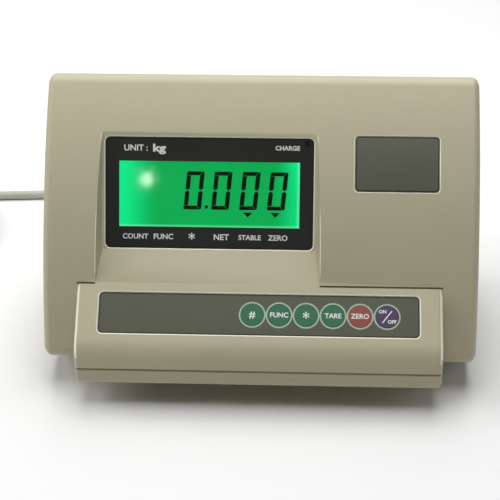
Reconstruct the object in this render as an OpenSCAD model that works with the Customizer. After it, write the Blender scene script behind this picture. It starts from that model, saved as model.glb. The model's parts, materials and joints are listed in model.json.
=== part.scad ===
// Desk indicator for a platform scale: sloping two-shell housing with a sunk
// liquid crystal display, a keypad on a console lip, and a mains lead.
// X is the width, Y runs to the back, Z is up. The rubber feet stand on Z = 0.

/* [Housing] */
// Width over the side walls
body_w = 262; // [255:1:290]
// Thickness of the moulded walls
wall = 2.5; // [2:0.1:3]
// Length of the face's chord, from its bottom edge to its top edge
face_len = 174; // [168:1:184]
// Lean of the face's chord from the horizontal, in degrees
face_tilt = 55.3; // [53:0.5:58]
// Radius of the bulging face, seen from the side
face_r = 308; // [280:1:400]
// Distance from the origin forward to the face's bottom edge
toe_y = 58.9; // [57:0.5:63]
// Height of the face's bottom edge
toe_z = 23.5; // [21:0.5:26]
// Distance from the origin back to the rear wall
back_y = 69; // [67:0.5:77]
// Height at which the rear wall meets the sloping roof
back_z = 143; // [140:1:150]
// Height of the flat underside
base_z = 8; // [7:0.5:9]
// Distance from the origin forward to the front of the flat underside
belly_y = 29; // [25:1:33]
// Rounding of the side edges, measured along the width
edge_x = 4.5; // [3:0.5:6]
// Rounding of the side edges, measured along the face
edge_in = 7; // [5:0.5:8]
// Gap between the two shells at the parting
part_gap = 0.15; // [0.1:0.05:0.3]

/* [Console lip] */
// Distance of the lip's ends in from the side walls
lip_set = 21.5; // [18:0.5:24]
// Distance from the origin forward to the lip's front
lip_y = 76.2; // [75:0.2:79]
// Height of the parting groove along the lip's front
groove_z = 28.3; // [27:0.1:30]
// Height of the lip's lower edge
skirt_z = 16.1; // [15:0.1:18]
// Radius of the roll from the keypad down to the groove
roll_r = 20; // [16:0.5:22]
// Place along the face's chord where the lip leaves the face
knee_u = 46; // [44:0.5:48]
// Lean of the keypad plane from the horizontal, in degrees
pad_tilt = 37.9; // [36:0.5:40]

/* [Display] */
// Distance of the display's middle to the left of the origin
disp_x = 31.2; // [28:0.2:34]
// Place of the display's middle along the face's chord
disp_u = 100.4; // [99:0.2:102]
// Width of the printed display overlay
disp_w = 125.4; // [122:0.2:128]
// Height of the printed display overlay
disp_h = 66.8; // [64:0.2:68]
// Extra lean of the display against the face's chord, in degrees
disp_lean = 6.7; // [6:0.1:7.5]
// Width of the clear window
window_w = 109; // [106:0.5:112]
// Height of the clear window
window_h = 39.7; // [38:0.1:41]
// Width of the digits' glass beyond the window, on each side
glass_edge = 3; // [2:0.5:4]
// Draft of the channel's side walls, in degrees
draft = 12; // [8:1:15]

/* [Keypad] */
// Distance of the keypad panel's ends in from the lip's ends
pad_set = 14.15; // [12:0.05:16]
// Height of the keypad panel
pad_h = 25; // [23:0.2:26]
// Number of keys
key_n = 6; // [4:1:6]
// Distance between neighbouring keys
key_pitch = 16; // [15.8:0.1:17]
// Diameter of a key
key_d = 15; // [14:0.1:15.2]
// Distance of the last key's middle from the panel's right end
key_end = 19.05; // [15:0.05:22]
// Travel of a key
key_travel = 0.4; // [0.3:0.05:0.5]

/* [Plate] */
// Width of the bare plate on the face
plate_w = 49.8; // [46:0.2:52]
// Height of the bare plate on the face
plate_h = 33; // [30:0.5:35]
// Distance of the plate's middle in from the right side wall
plate_side = 49.7; // [48:0.1:52]
// Place of the plate's middle along the face's chord
plate_u = 119; // [115:0.2:122]

/* [Supply] */
// Width of the battery
battery_w = 100; // [96:1:102]
// Depth of the battery
battery_d = 70; // [64:1:71]
// Height of the battery
battery_h = 47; // [44:1:50]
// Diameter of the mains lead
cord_d = 6; // [5.6:0.1:6.4]
// Distance of the lead's exit in from the left side wall
exit_side = 19; // [18:0.5:20]
// Height of the lead's exit
exit_z = 38; // [34:0.5:42]

/* [Hidden] */
// Widths that follow the housing, and the first key's place left of the origin
lip_w = body_w - 2 * lip_set;
pad_w = lip_w - 2 * pad_set;
key_first = key_end + (key_n - 1) * key_pitch - pad_w / 2;

// Overrun of every cut
over = 1;
// Clearance between parts that drop into each other
fit = 0.15;
// Clearance round a moving key
key_gap = 0.3;
$fn = 48;

// Roundings of the housing's side profile
toe_r = 8.5;
ridge_r = 9;
roof_r = 18;
heel_r = 8;
belly_r = 20;
skirt_r = 5;
knee_r = 8;
lip_edge_x = 3;
lip_edge_in = 4;
lip_back_y = 39;
arc_steps = 12;
arc_end_shares = [0.1, 0.9];
share_half = 0.5;

// The parting plane, which leans back from behind the face's bottom edge
part_y = 53;
part_z = 21;
part_tilt = 50.7;
groove_w = 1.8;
groove_deep = 1;

// Display stack, measured back from the overlay's seat
overlay_t = 0.9;
overlay_in = 0.3;
overlay_corner = 3;
lens_t = 0.9;
lcd_t = 2.8;
light_t = 4;
board_t = 1.6;
glass_gap = 0.3;
lamp_d = 3;
lamp_x = 59;
lamp_up = 30.4;
window_drop = 0.7;
disp_margin = 2.05;

// Keypad stack, measured up from the floor of its recess
circuit_t = 0.6;
dome_h = 0.4;
dome_d = 10;
dome_steps = 5;
pad_t = 0.5;
key_t = 1;
key_rise = 0.2;
pad_in = 0.7;
pad_floor = 2;
pad_corner = 2.6;
pad_v = 18.6;
// The spacer leaves room for the key's travel above its dome
spacer_t = dome_h + key_gap + key_travel + key_t - key_rise - pad_t;
pad_deep = circuit_t + spacer_t + pad_t + pad_in;

plate_t = 0.6;
plate_in = 0.3;
plate_corner = 2;
plate_x = body_w / 2 - plate_side;
exit_x = body_w / 2 - exit_side;

// Fasteners
screw_d = 3.5;
screw_head_d = 7;
screw_head_h = 2.4;
boss_d = 8.4;
boss_wall = 1.5;
pilot_d = 3;
driver_w = 5;
small_screw_d = 2.6;
small_head_d = 5;
small_head_h = 1.6;
small_boss_d = 6;
small_boss_wall = 1;
slot_w = 1;
slot_deep = 1;

// Feet and bracket inserts
foot_d = 18;
foot_seat = 1;
foot_chamfer = 1.2;
foot_side = 31;
foot_x = body_w / 2 - foot_side;
foot_front_y = -14;
foot_back_y = 55;
insert_d = 7;
insert_h = 8;
insert_bore_d = 4.2;
insert_x = 45;
insert_y = -18;

function unit(v) = v / norm(v);
function turn_left(v) = [-v[1], v[0]];

// A closed outline whose corners [p, q, r] are rounded to their radius r
function rounded(corners, steps = 6) = [
    for (i = [0 : len(corners) - 1])
        let (
            n = len(corners),
            c = corners[i],
            here = [c[0], c[1]],
            back = corners[(i + n - 1) % n],
            ahead = corners[(i + 1) % n],
            a = unit([back[0], back[1]] - here),
            b = unit([ahead[0], ahead[1]] - here),
            half = acos(a * b) / 2,
            run = c[2] / tan(half),
            middle = here + unit(a + b) * c[2] / sin(half),
            from = here + a * run - middle,
            to = here + b * run - middle,
            sweep = 180 - 2 * half
        )
        each c[2] == 0 ? [here] : [
            for (k = [0 : steps])
                middle + (sin(sweep * (1 - k / steps)) * from + sin(sweep * k / steps) * to) / sin(sweep)
        ]
];

// The outline moved inwards by d, point for point; it runs anticlockwise
function inset(pts, d) = [
    for (i = [0 : len(pts) - 1])
        let (
            n = len(pts),
            before = turn_left(unit(pts[i] - pts[(i + n - 1) % n])),
            after = turn_left(unit(pts[(i + 1) % n] - pts[i]))
        )
        pts[i] + d * (before + after) / (1 + before * after)
];

// From the face's chord frame [along, out] to the side view [y, z]
function on_chord(p) = [
    -toe_y + p[0] * cos(face_tilt) - p[1] * sin(face_tilt),
    toe_z + p[0] * sin(face_tilt) + p[1] * cos(face_tilt)
];
// Height of the bulging face over its chord
function bulge(u) = sqrt(pow(face_r, 2) - pow(u - face_len / 2, 2))
    - sqrt(pow(face_r, 2) - pow(face_len / 2, 2));
function face_pt(u) = on_chord([u, bulge(u)]);

// The display plane passes through the face at the channel's top
disp_foot_u = disp_u - disp_h / 2 * cos(disp_lean) - disp_margin / 2;
disp_head_u = disp_u + disp_h / 2 * cos(disp_lean) + disp_margin * 2;
disp_mid = [disp_u, bulge(disp_head_u) - (disp_head_u - disp_u) * tan(disp_lean)];
disp_foot = [disp_foot_u, disp_mid[1] - (disp_u - disp_foot_u) * tan(disp_lean)];
disp_origin = on_chord(disp_mid);
disp_tilt = face_tilt + disp_lean;

// The keypad plane leaves the face at the knee
knee = face_pt(knee_u);
function on_pad(v) = knee + v * [-cos(pad_tilt), -sin(pad_tilt)];
roll_v = (lip_y + knee[0]) / cos(pad_tilt);
roll_corner = on_pad(roll_v);

// Side profile of the housing, anticlockwise from the bottom edge of the face
ridge = on_chord([face_len, 0]);
body_side = rounded([
    [-toe_y, toe_z, toe_r],
    [-belly_y, base_z, belly_r],
    [back_y, base_z, heel_r],
    [back_y, back_z, roof_r],
    [ridge[0], ridge[1], ridge_r],
    for (k = [0 : arc_steps])
        let (
            share = arc_end_shares[1] + (arc_end_shares[0] - arc_end_shares[1]) * k / arc_steps,
            p = face_pt(face_len * share)
        )
        [p[0], p[1], 0]
]);

// Side profile of the console lip, anticlockwise from its lower front edge
ramp_top = on_chord(disp_foot);
lip_side = rounded([
    [-lip_y, skirt_z, skirt_r],
    [-lip_back_y, skirt_z, 0],
    [ramp_top[0], ramp_top[1], 0],
    [knee[0], knee[1], knee_r],
    [roll_corner[0], roll_corner[1], roll_r]
]);

// Side profile of what the display channel takes away
channel_out = 40;
ramp_run = knee_u - disp_foot[0];
ramp_rise = bulge(knee_u) - disp_foot[1];
channel_side = [
    on_chord(disp_foot),
    on_chord([disp_head_u + face_len, disp_foot[1] + (disp_head_u + face_len - disp_foot_u) * tan(disp_lean)]),
    on_chord([disp_head_u + face_len, channel_out * 2]),
    on_chord([disp_foot[0] + ramp_run * channel_out / ramp_rise, channel_out * 2]),
    on_chord([disp_foot[0] + ramp_run * channel_out / ramp_rise, disp_foot[1] + channel_out])
];

// Draws a side profile [y, z] as a prism along the width
module along_width(pts, w) {
    rotate([90, 0, 90])
        translate([0, 0, -w / 2])
            linear_extrude(w) polygon(pts);
}

// A prism of the profile whose two ends round over
module rounded_ends(pts, w, run, deep) {
    steps = 4;
    n = len(pts);
    half = [for (k = [0 : steps]) [w / 2 - run * (1 - sin(90 * k / steps)), deep * (1 - cos(90 * k / steps))]];
    rings = concat(
        [for (k = [steps : -1 : 0]) [-half[k][0], half[k][1]]],
        half
    );
    verts = [for (r = rings) each [for (p = inset(pts, r[1])) [r[0], p[0], p[1]]]];
    last = len(rings) - 1;
    faces = concat(
        [[for (i = [0 : n - 1]) i]],
        [[for (i = [n - 1 : -1 : 0]) last * n + i]],
        [for (r = [0 : last - 1], i = [0 : n - 1])
            each [
                [r * n + i, (r + 1) * n + i, (r + 1) * n + (i + 1) % n],
                [r * n + i, (r + 1) * n + (i + 1) % n, r * n + (i + 1) % n]
            ]
        ]
    );
    polyhedron(verts, faces, convexity = 6);
}

// Frames of the sloping planes: X across, Y up the slope, Z out of the plane
module on_display() {
    translate([-disp_x, disp_origin[0], disp_origin[1]]) rotate([disp_tilt, 0, 0]) children();
}
pad_mid = on_pad(pad_v);
module on_keypad() {
    translate([0, pad_mid[0], pad_mid[1]]) rotate([pad_tilt, 0, 0]) children();
}
module on_parting() {
    translate([0, -part_y, part_z]) rotate([part_tilt, 0, 0]) children();
}
plate_lean = asin((face_len / 2 - plate_u) / face_r);
plate_mid = on_chord([plate_u, bulge(plate_u)]);
module on_plate() {
    translate([plate_x, plate_mid[0], plate_mid[1]]) rotate([face_tilt + plate_lean, 0, 0]) children();
}

// A flat sheet w by h with rounded corners, from z = 0 up
module sheet(w, h, t, r) {
    linear_extrude(t)
        polygon(rounded([[-w / 2, -h / 2, r], [w / 2, -h / 2, r], [w / 2, h / 2, r], [-w / 2, h / 2, r]], 5));
}
module block(w, d, h) {
    translate([-w / 2, -d / 2, 0]) cube([w, d, h]);
}

// Outside of the closed housing
module outside() {
    difference() {
        union() {
            rounded_ends(body_side, body_w, edge_x, edge_in);
            rounded_ends(lip_side, lip_w, lip_edge_x, lip_edge_in);
        }
        channel(0);
    }
}

// What the sunk display channel takes away, grown by g
module channel(g) {
    half = disp_w / 2 + disp_margin + g;
    tall = channel_out * 2;
    intersection() {
        along_width(inset(channel_side, -g), body_w);
        on_display()
            rotate([90, 0, 0])
                linear_extrude(face_len * 3, center = true)
                    polygon([
                        [-half, -g], [half, -g],
                        [half + (tall + g) * tan(draft), tall],
                        [-half - (tall + g) * tan(draft), tall]
                    ]);
    }
}

// The hollow of the closed housing
module hollow() {
    difference() {
        union() {
            along_width(inset(body_side, wall), body_w - 2 * wall);
            along_width(inset(lip_side, wall), lip_w - 2 * wall);
        }
        channel(wall);
        on_keypad()
            translate([0, 0, -pad_deep - pad_floor])
                block(pad_w + 2 * pad_floor, pad_h + 2 * pad_floor, pad_deep + pad_floor + over);
        on_plate()
            translate([0, 0, -wall - plate_t])
                block(plate_w + 2 * plate_t, plate_h + 2 * plate_t, wall + plate_t + over);
    }
}

// All that lies on the front shell's side of the parting, moved back by g
module front_side(g) {
    far = face_len * 2;
    difference() {
        on_parting() translate([-body_w, -far, -g]) cube([2 * body_w, 2 * far, far]);
        translate([-lip_w / 2 + g, -far, groove_z - g - far]) cube([lip_w - 2 * g, far, far]);
    }
}

// The groove that runs round the lip at the parting
module parting_groove() {
    groove = [[-groove_deep, 0], [0, -groove_w / 2], [groove_deep, 0], [0, groove_w / 2]];
    ends_y = part_y;
    translate([0, -lip_y, groove_z - part_gap / 2]) along_width(groove, lip_w + 2 * over);
    for (s = [-1, 1])
        translate([s * lip_w / 2, -lip_y - over, groove_z - part_gap / 2])
            rotate([-90, 0, 0])
                linear_extrude(lip_y - ends_y + over) polygon(groove);
}

// The groove where the face meets the lip, on both sides of the channel
knee_groove_w = 1.1;
knee_groove_deep = 1.6;
knee_high = (bulge(knee_u) - disp_mid[1] + (disp_u - knee_u) * tan(disp_lean)) * cos(disp_lean);
knee_half = disp_w / 2 + disp_margin + knee_high * tan(draft);
knee_tilt = (face_tilt + asin((face_len / 2 - knee_u) / face_r) + pad_tilt) / 2;
module knee_groove() {
    spans = [[-lip_w / 2, -disp_x - knee_half], [-disp_x + knee_half, lip_w / 2]];
    for (s = spans)
        translate([s[0], knee[0], knee[1]])
            rotate([knee_tilt, 0, 0])
                translate([0, -knee_groove_w, -knee_groove_deep])
                    cube([s[1] - s[0], knee_groove_w, knee_groove_deep + over]);
}

// Screw places on the parting plane: across and up the slope
boss_side = 17;
boss_x = body_w / 2 - boss_side;
boss_low_u = 14;
boss_high_u = 150;
boss_l = 60;
boss_spots = [for (u = [boss_low_u, boss_high_u], x = [-boss_x, boss_x]) [x, u]];
seat_h = 18;
screw_bite = 6;
module at_bosses() {
    for (b = boss_spots)
        on_parting() translate([b[0], b[1], 0]) children();
}

// The display board's four bosses, on the display plane's frame
board_side = 5.3;
board_w = disp_w + 2 * board_side;
board_h = 62;
board_back = overlay_in + overlay_t + wall + glass_gap + lcd_t + light_t + glass_gap;
board_spot_in = 5;
board_spot_x = board_w / 2 - board_spot_in;
board_spot_y = board_h / 2 - board_spot_in;
module at_board_spots() {
    for (x = [-1, 1], y = [-1, 1])
        on_display() translate([x * board_spot_x, y * board_spot_y, -board_back]) children();
}

// The housing's block, set back to the middle of its walls
module inner_block() {
    rounded_ends(inset(body_side, wall / 2), body_w - wall, edge_x, edge_in);
}

module front_shell() {
    color("#b4ae90")
    difference() {
        union() {
            intersection() {
                difference() {
                    outside();
                    hollow();
                    parting_groove();
                    knee_groove();
                }
                front_side(0);
            }
            intersection() {
                inner_block();
                at_bosses() cylinder(d = boss_d, h = boss_l);
            }
            at_board_spots() cylinder(d = small_boss_d, h = board_back - wall / 2);
        }
        at_bosses() translate([0, 0, -over]) cylinder(d = pilot_d, h = screw_bite + over);
        at_board_spots()
            translate([0, 0, -over]) cylinder(d = small_screw_d - 2 * fit, h = board_back - 2 * wall + over);
        display_openings();
        keypad_openings();
        on_plate()
            translate([0, 0, -plate_in - plate_t])
                sheet(plate_w + 2 * fit, plate_h + 2 * fit, wall + plate_t, plate_corner);
    }
}

// The overlay's seat, the window and the lamp's hole
module display_openings() {
    on_display() {
        translate([0, 0, -overlay_in - overlay_t])
            sheet(disp_w + 2 * fit, disp_h + 2 * fit, overlay_in + overlay_t + over, overlay_corner);
        translate([0, -window_drop, -overlay_in - overlay_t - 2 * wall])
            block(window_w, window_h, 3 * wall);
        translate([lamp_x, lamp_up, -overlay_in - overlay_t - 2 * wall])
            cylinder(d = lamp_d + 2 * fit, h = 2 * wall + over);
    }
}

// The keypad's recess and the slot for its tail
tail_w = 14;
tail_t = 0.4;
tail_side = 1;
tail_x = 20;
slot_h = 3;
slot_v = pad_h / 2 - slot_h;
module keypad_openings() {
    on_keypad() {
        translate([0, 0, -pad_deep]) sheet(pad_w + 2 * fit, pad_h + 2 * fit, pad_deep + over, pad_corner);
        translate([tail_x, slot_v, -pad_deep - pad_floor - over])
            block(tail_w + 2 * tail_side, slot_h, pad_floor + 2 * over);
    }
}

// Rear wall fittings: across and height
jack_pitch = 24.99;
socket_z = 78;
load_side = 69;
socket_pitch = 48;
load_x = body_w / 2 - load_side;
serial_x = load_x - socket_pitch;
socket_w = 19.4;
socket_h = 10.6;
jack_d = 5;
jack_bore_d = 2.8;
pin_d = 1.1;
pin_pitch = 2.77;
pin_rows = 2.84;
pin_deep = 5;
d_slant = 1.6;
d_corner = 2.4;
fuse_side = 45;
fuse_x = body_w / 2 - fuse_side;
fuse_z = 84;
fuse_d = 12;
relief_d = 12;
module at_back(x, z) {
    translate([x, back_y, z]) rotate([-90, 0, 0]) children();
}

// Main board: stands in front of the rear wall
main_w = 150;
main_h = 58;
main_x = 25;
main_z = 92;
main_off = 9;
main_spot_side = 7;
main_spot_end = 5;
main_spots = [
    for (x = [-1, 1], y = [-1, 1])
        [x * (main_w / 2 - main_spot_side), y * (main_h / 2 - main_spot_end)]
];
module at_main() {
    translate([main_x, back_y - wall - main_off, main_z]) rotate([90, 0, 0]) children();
}

// Battery and its door
battery_x = -48;
battery_y = 24;
pad_foam_t = 2;
door_w = 84;
door_d = 56;
ledge = 3;
door_screw_in = 4;

module rear_shell() {
    color("#a9a389")
    difference() {
        union() {
            difference() {
                outside();
                hollow();
                front_side(part_gap);
                parting_groove();
            }
            intersection() {
                inner_block();
                union() {
                    at_bosses() translate([0, 0, -part_gap - boss_l]) cylinder(d = boss_d + 2 * boss_wall, h = boss_l);
                    for (s = main_spots)
                        at_main() translate([s[0], s[1], -2 * main_off]) cylinder(d = small_boss_d, h = 2 * main_off);
                    for (x = [-1, 1])
                        translate([x * insert_x, insert_y, 0]) cylinder(d = insert_d + 2 * wall, h = base_z + insert_h + wall);
                    for (s = [-1, 1])
                        translate([transformer_x + s * iron_ear_x, transformer_y, 0])
                            cylinder(d = small_boss_d + 2 * small_boss_wall, h = base_z + wall + iron_lift);
                }
            }
        }
        // Screw holes and their counterbores
        at_bosses() {
            translate([0, 0, -part_gap - seat_h - over]) cylinder(d = screw_d + 2 * fit, h = seat_h + 2 * over);
            translate([0, 0, -part_gap - seat_h - boss_l]) cylinder(d = screw_head_d + 2 * fit, h = boss_l);
        }
        for (s = main_spots)
            at_main() translate([s[0], s[1], -main_off + fit]) cylinder(d = small_screw_d - 2 * fit, h = main_off + over);
        for (s = [-1, 1])
            translate([transformer_x + s * iron_ear_x, transformer_y, base_z + wall])
                cylinder(d = small_screw_d - 2 * fit, h = iron_lift + over);
        for (x = [-1, 1])
            translate([x * insert_x, insert_y, base_z - over]) cylinder(d = insert_d, h = insert_h + over);
        // Feet
        at_feet() translate([0, 0, base_z - over]) cylinder(d = foot_d + 2 * fit, h = foot_seat + over);
        // Battery door
        translate([battery_x, battery_y, base_z - over]) {
            block(door_w + 2 * fit, door_d + 2 * fit, wall / 2 + over);
            block(door_w - 2 * ledge, door_d - 4 * ledge, 2 * wall + over);
        }
        at_door_screws() cylinder(d = small_screw_d - 2 * fit, h = 2 * wall);
        // Rear wall
        at_back(load_x, socket_z) socket_cut();
        at_back(serial_x, socket_z) socket_cut();
        at_back(-fuse_x, fuse_z) translate([0, 0, -2 * wall]) cylinder(d = fuse_d + 2 * fit, h = 3 * wall);
        at_back(-exit_x, exit_z) translate([0, 0, -2 * wall]) cylinder(d = relief_d + 2 * fit, h = 3 * wall);
    }
}
module at_door_screws() {
    for (s = [-1, 1])
        translate([battery_x, battery_y + s * (door_d / 2 - door_screw_in), base_z]) children();
}
module at_feet() {
    for (x = [-1, 1], y = [foot_front_y, foot_back_y])
        translate([x * foot_x, y, 0]) children();
}
// The nine way sockets' outline, grown by g
module d_shape(g, t) {
    w = socket_w / 2 + g;
    h = socket_h / 2 + g;
    linear_extrude(t)
        polygon(rounded([
            [-w + d_slant, -h, d_corner], [w - d_slant, -h, d_corner], [w, h, d_corner], [-w, h, d_corner]
        ]));
}
module socket_cut() {
    translate([0, 0, -2 * wall]) d_shape(fit, 3 * wall);
    for (s = [-1, 1])
        translate([s * jack_pitch / 2, 0, -2 * wall]) cylinder(d = jack_d + 4 * fit, h = 3 * wall);
}

// Display
module display_overlay() {
    color("#2c2e2a")
    on_display()
        translate([0, 0, -overlay_in - overlay_t])
            difference() {
                sheet(disp_w, disp_h, overlay_t, overlay_corner);
                translate([0, -window_drop, -over]) block(window_w, window_h, overlay_t + 2 * over);
                translate([lamp_x, lamp_up, -over]) cylinder(d = lamp_d + 2 * fit, h = overlay_t + 2 * over);
            }
}
module display_lens() {
    color("#c8f0d8", 0.4)
    on_display()
        translate([0, -window_drop, -overlay_in - lens_t])
            block(window_w - 2 * fit, window_h - 2 * fit, lens_t);
}
module status_lamp() {
    color("#7a2018")
    on_display()
        translate([lamp_x, lamp_up, 0]) {
            translate([0, 0, -overlay_in - overlay_t - wall - lamp_d])
                cylinder(d = lamp_d, h = overlay_t + wall + lamp_d);
            translate([0, 0, -overlay_in - overlay_t - wall - lamp_d - fit])
                cylinder(d = lamp_d + fit * 4, h = lamp_d);
        }
}
glass_w = window_w + 2 * glass_edge;
glass_h = window_h + 2 * glass_edge;
glass_z = -overlay_in - overlay_t - wall - glass_gap - lcd_t;
module lcd_glass() {
    color("#12b45c")
    on_display() translate([0, -window_drop, glass_z]) block(glass_w, glass_h, lcd_t);
}
module lcd_backlight() {
    color("#30f090")
    on_display() translate([0, -window_drop, glass_z - light_t]) block(glass_w, glass_h, light_t - fit);
}
frame_t = 1.2;
strip_w = 2.4;
module lcd_frame() {
    color("#e4e4de")
    on_display()
        translate([0, -window_drop, -board_back])
            difference() {
                block(glass_w + 2 * frame_t + 2 * fit, glass_h + 2 * frame_t + 2 * fit + 2 * strip_w, lcd_t + light_t);
                translate([0, 0, -over])
                    block(glass_w + 2 * fit, glass_h + 2 * fit + 2 * strip_w, lcd_t + light_t + 2 * over);
            }
}
module rubber_connectors() {
    color("#d0508c")
    on_display()
        for (s = [-1, 1])
            translate([0, -window_drop + s * (glass_h + strip_w) / 2, -board_back])
                block(glass_w - 2 * frame_t, strip_w - fit, lcd_t + light_t - fit);
}
module display_board() {
    color("#1c5c34")
    on_display()
        translate([0, 0, -board_back - board_t])
            difference() {
                union() {
                    block(board_w, board_h, board_t - fit);
                    translate([tail_x + disp_x, (connector_h - board_h) / 2 + fit, -connector_t])
                        block(tail_w + 2 * tail_side, connector_h, connector_t + fit);
                }
                for (x = [-1, 1], y = [-1, 1])
                    translate([x * board_spot_x, y * board_spot_y, -connector_t - over])
                        cylinder(d = small_screw_d + 2 * fit, h = connector_t + board_t + 2 * over);
            }
}
module small_screw(l) {
    difference() {
        union() {
            cylinder(d = small_screw_d - 2 * fit, h = l);
            translate([0, 0, -small_head_h]) cylinder(d = small_head_d, h = small_head_h);
        }
        translate([0, 0, -small_head_h - over]) block(small_head_d + over, slot_w / 2, slot_deep / 2 + over);
    }
}
small_screw_l = 7;
module display_screws() {
    color("#b8b8b4")
    at_board_spots() translate([0, 0, -board_t]) small_screw(small_screw_l);
}

// Keypad
module key_holes(t) {
    for (i = [0 : key_n - 1])
        translate([-key_first + i * key_pitch, 0, -over]) cylinder(d = key_d + 2 * key_gap, h = t + 2 * over);
}
module keypad_overlay() {
    color("#5a5c4e")
    on_keypad()
        translate([0, 0, -pad_in - pad_t])
            difference() {
                sheet(pad_w, pad_h, pad_t, pad_corner);
                key_holes(pad_t);
            }
}
module keypad_spacer() {
    color("#d8d8cc")
    on_keypad()
        translate([0, 0, -pad_in - pad_t - spacer_t])
            difference() {
                sheet(pad_w, pad_h, spacer_t, pad_corner);
                key_holes(spacer_t);
            }
}
module key(i, tint) {
    crown = 0.15;
    color(tint)
    on_keypad()
        translate([-key_first + i * key_pitch, 0, -pad_in + key_rise - key_t])
            rotate_extrude()
                polygon([
                    [0, 0], [key_d / 2, 0], [key_d / 2, key_t - 2 * crown], [key_d / 2 - crown, key_t - crown],
                    [key_d / 2 - key_rise * 4, key_t - crown], [key_d / 2 - key_rise * 5, key_t], [0, key_t]
                ]);
}
module key_hash() { key(0, "#2f8264"); }
module key_function() { key(1, "#2f8264"); }
module key_star() { key(2, "#2f8264"); }
module key_tare() { key(3, "#2f8264"); }
module key_zero() { key(4, "#9c5140"); }
module key_power() { key(5, "#5c4872"); }
module snap_domes() {
    color("#c8c8c4")
    on_keypad()
        for (i = [0 : key_n - 1])
            translate([-key_first + i * key_pitch, 0, -pad_deep + circuit_t])
                rotate_extrude()
                    polygon(concat([[0, 0]], [
                        for (k = [0 : dome_steps])
                            let (w = 90 * k / dome_steps) [dome_d / 2 * cos(w), dome_h * sin(w)]
                    ]));
}
module keypad_circuit() {
    color("#c9b458")
    on_keypad()
        translate([0, 0, -pad_deep])
            difference() {
                sheet(pad_w, pad_h, circuit_t, pad_corner);
                translate([tail_x, slot_v, -over])
                    block(tail_w + 2 * tail_side, slot_h, circuit_t + 2 * over);
            }
}
// The tail bends down through its slot and runs up to the display board's connector
function on_keypad_side(p) = pad_mid + p[0] * [cos(pad_tilt), sin(pad_tilt)]
    + p[1] * [-sin(pad_tilt), cos(pad_tilt)];
function on_display_side(p) = disp_origin + p[0] * [cos(disp_tilt), sin(disp_tilt)]
    + p[1] * [-sin(disp_tilt), cos(disp_tilt)];
tail_v = slot_v - slot_h / 2 + tail_t / 2 + fit;
tail_dip = 10;
connector_h = 4;
connector_t = 3;
connector_back = board_back + board_t + connector_t / 2;
tail_turns = [
    on_keypad_side([tail_v, circuit_t - pad_deep]),
    on_keypad_side([tail_v, -pad_deep - pad_floor]),
    on_keypad_side([tail_v + tail_t, -pad_deep - pad_floor - tail_dip / 2]),
    on_keypad_side([tail_v + tail_dip / 2, -pad_deep - pad_floor - tail_dip]),
    on_keypad_side([tail_v + 2 * tail_dip, -pad_deep - pad_floor - tail_dip]),
    on_display_side([-board_h / 2 - tail_dip / 2, -connector_back]),
    on_display_side([-board_h / 2, -connector_back])
];
module keypad_tail() {
    line = concat(spline(tail_turns, cord_steps), [tail_turns[len(tail_turns) - 1]]);
    last = len(line) - 1;
    aside = [for (i = [0 : last]) turn_left(unit(line[min(i + 1, last)] - line[max(i - 1, 0)])) * tail_t / 2];
    color("#c9b458")
    translate([tail_x, 0, 0])
        along_width(concat(
            [for (i = [0 : last]) line[i] + aside[i]],
            [for (i = [last : -1 : 0]) line[i] - aside[i]]
        ), tail_w);
}

module face_plate() {
    color("#5a5c4e")
    on_plate() translate([0, 0, -plate_in - plate_t]) sheet(plate_w, plate_h, plate_t, plate_corner);
}

// Electronics
module main_board() {
    color("#1c5c34")
    at_main()
        difference() {
            block(main_w, main_h, board_t);
            for (s = main_spots)
                translate([s[0], s[1], -over]) cylinder(d = small_screw_d + 2 * fit, h = board_t + 2 * over);
        }
}
// Components of the main board
chip_w = 22;
chip_d = 9;
chip_h = 3;
chip_lift = 0.5;
chip_legs = 8;
leg_pitch = 2.54;
leg_w = 0.8;
cap_d = 12;
cap_h = 16;
sink_w = 26;
sink_d = 6;
sink_h = 18;
fin_n = 6;
fin_t = 1.4;
sink_back = 2;
lead_block_w = 12;
lead_block_d = 8;
lead_block_h = 8;
lead_block_x = 39;
lead_block_z = 18;
module chip() {
    translate([0, 0, chip_lift]) block(chip_w, chip_d, chip_h);
    for (i = [0 : chip_legs - 1], s = [-1, 1])
        translate([(i - (chip_legs - 1) / 2) * leg_pitch, s * chip_d / 2, 0])
            block(leg_w, 2 * leg_w, chip_lift + chip_h / 2);
}
module heat_sink() {
    block(sink_w, sink_back, sink_h);
    for (i = [0 : fin_n - 1])
        translate([(i / (fin_n - 1) - share_half) * (sink_w - fin_t), -(sink_d - sink_back) / 2, 0])
            block(fin_t, sink_d, sink_h);
}
module board_parts() {
    color("#30343a")
    at_main()
        translate([0, 0, board_t]) {
            for (x = [-1, 1]) translate([x * chip_w * 1.5, 0, 0]) chip();
            for (x = [-1, 1]) translate([x * cap_d - cap_d * 4, cap_d * 1.4, 0]) capacitor();
            translate([0, cap_d * 1.5, 0]) heat_sink();
            translate([-lead_block_x, -lead_block_z, 0]) block(lead_block_w, lead_block_d, lead_block_h);
        }
}
module capacitor() {
    rim = 0.6;
    cylinder(d = cap_d, h = cap_h - rim);
    cylinder(d = cap_d - 2 * rim, h = cap_h);
}
module board_screws() {
    color("#b8b8b4")
    for (s = main_spots)
        at_main() translate([s[0], s[1], board_t]) rotate([180, 0, 0]) small_screw(small_screw_l);
}
module sounder() {
    sounder_d = 14;
    sounder_h = 8;
    color("#222222")
    on_display()
        translate([board_w / 4, 0, -board_back - board_t - sounder_h - fit])
            difference() {
                cylinder(d = sounder_d, h = sounder_h);
                translate([0, 0, -over]) cylinder(d = sounder_d / 5, h = over * 2);
            }
}
iron_w = 48;
iron_d = 40;
iron_h = 30;
iron_lift = 3;
iron_ear_x = 30;
ear_t = 1.2;
transformer_x = 58;
transformer_y = 29;
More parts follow.
